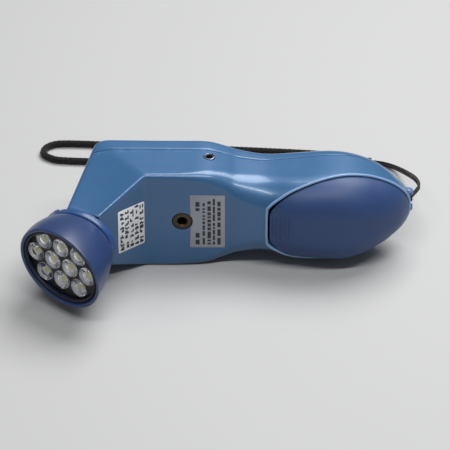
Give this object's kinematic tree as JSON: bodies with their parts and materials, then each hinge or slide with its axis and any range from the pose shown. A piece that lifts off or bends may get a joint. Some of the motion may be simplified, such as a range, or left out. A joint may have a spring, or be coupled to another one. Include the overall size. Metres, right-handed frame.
{
  "type": "timing light",
  "caption": "Pocket stroboscope: waisted handle with keys and display, bent head with a flared oval lens lamp, sliding battery door, sockets and a wrist strap.",
  "frame": {"origin": "centre of the tripod socket's mouth on the back of the handle", "axes": "+X along the handle from the lamp head to the tail, +Y from the back to the display side, +Z across the width, so the part lies on its -Z side"},
  "size_m": [0.2202, 0.1795, 0.061],
  "materials": {
    "casing": "fine satin, slightly metallic blue",
    "navy": "matte navy",
    "navy_gloss": "semi-gloss navy",
    "overlay": "printed film",
    "key": "satin",
    "key_red": "satin",
    "black": "satin",
    "board": "solder mask",
    "light_plate": "white",
    "lcd": "grey-green",
    "clear": "clear",
    "lens": "clear",
    "led": "pale yellow",
    "label_w": "printed paper film",
    "label_g": "printed film",
    "brass": "machined",
    "steel": "plated",
    "alu": "extruded",
    "cell": "printed sleeve",
    "wire_red": "insulation",
    "wire_black": "insulation",
    "fabric": "woven"
  },
  "bodies": {
    "housing": {"rear_shell": "casing", "front_shell": "casing", "case_screws": "steel", "label_white": "label_w", "label_grey": "label_g", "tripod_insert": "brass", "display_overlay": "overlay", "lcd_window": "clear", "lcd_glass": "lcd", "lcd_backlight": "light_plate", "key_switches": "black", "main_board": "board", "board_parts": "black", "board_screws": "steel", "power_jack": "black", "input_jack": "black", "output_jack": "black", "lamp_cable": "wire_red", "battery_leads": "wire_black", "battery_holder": "black", "batteries": "cell", "battery_springs": "steel", "battery_plates": "steel", "lamp_collar": "navy_gloss", "lamp_bell": "navy_gloss", "rim_ring": "black", "led_reflector": "black", "led_lenses": "lens", "leds": "led", "led_board": "light_plate", "heat_sink": "alu", "strap_lug": "casing", "lug_pin": "steel"},
    "door": {"battery_door": "navy"},
    "plus_key": {"key_plus": "key"},
    "minus_key": {"key_minus": "key"},
    "double_key": {"key_double": "key"},
    "half_key": {"key_half": "key"},
    "trigger_key": {"key_trigger": "key_red"},
    "strap": {"strap_cord": "fabric", "strap_ferrule": "black", "wrist_strap": "fabric"}
  },
  "joints": [
    {"name": "door_slide", "type": "slide", "parent": "housing", "child": "door", "axis": [1, 0, 0], "range_m": [0, 0.008]},
    {"name": "plus_press", "type": "slide", "parent": "housing", "child": "plus_key", "axis": [0, -1, 0], "range_m": [0, 0.0008], "stiffness_N_per_m": 600, "springref_m": -0.0005},
    {"name": "minus_press", "type": "slide", "parent": "housing", "child": "minus_key", "axis": [0, -1, 0], "range_m": [0, 0.0008], "stiffness_N_per_m": 600, "springref_m": -0.0005},
    {"name": "double_press", "type": "slide", "parent": "housing", "child": "double_key", "axis": [0, -1, 0], "range_m": [0, 0.0008], "stiffness_N_per_m": 600, "springref_m": -0.0005},
    {"name": "half_press", "type": "slide", "parent": "housing", "child": "half_key", "axis": [0, -1, 0], "range_m": [0, 0.0008], "stiffness_N_per_m": 600, "springref_m": -0.0005},
    {"name": "trigger_press", "type": "slide", "parent": "housing", "child": "trigger_key", "axis": [0, -1, 0], "range_m": [0, 0.0008], "stiffness_N_per_m": 600, "springref_m": -0.0005},
    {"name": "strap_swing", "type": "hinge", "parent": "housing", "child": "strap", "pos_m": [0.1249, 0.022, 0], "axis": [0, 0, 1], "range_deg": [-100, 8]}
  ]
}
